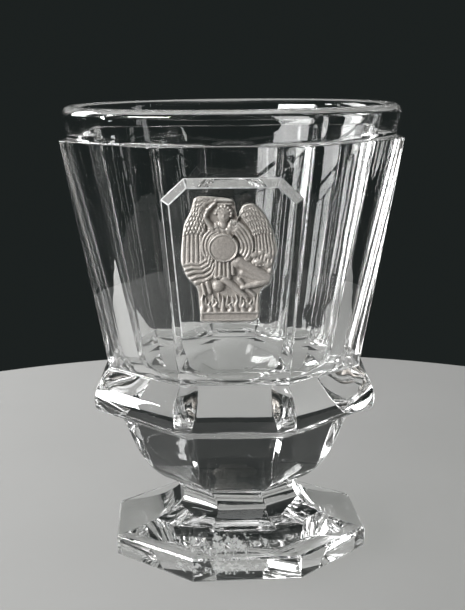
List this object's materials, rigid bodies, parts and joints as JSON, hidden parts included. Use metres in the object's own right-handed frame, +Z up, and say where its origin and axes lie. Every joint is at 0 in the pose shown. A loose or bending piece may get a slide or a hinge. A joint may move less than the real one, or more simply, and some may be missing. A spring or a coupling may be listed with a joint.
{
  "type": "footed beaker",
  "caption": "Heavy clear cut-glass beaker on a faceted foot, with a round rim, flat-cut tapering panels, a thick belt and a ceramic cameo under a raised glass cover.",
  "frame": {"origin": "middle of the resting face, on the axis of the bowl", "axes": "+Z up along the bowl's axis, -Y towards the panel with the cameo, +X to the right of someone who faces the cameo"},
  "size_m": [0.0952, 0.0952, 0.128],
  "materials": {
    "clear_glass": "cut and polished, colourless",
    "cameo_paste": "unglazed, satin, silvery where the glass touches it"
  },
  "bodies": {
    "root": {"bowl": "clear_glass", "neck_wafer": "clear_glass", "foot": "clear_glass", "cover_tablet": "clear_glass", "cameo": "cameo_paste"}
  },
  "joints": []
}
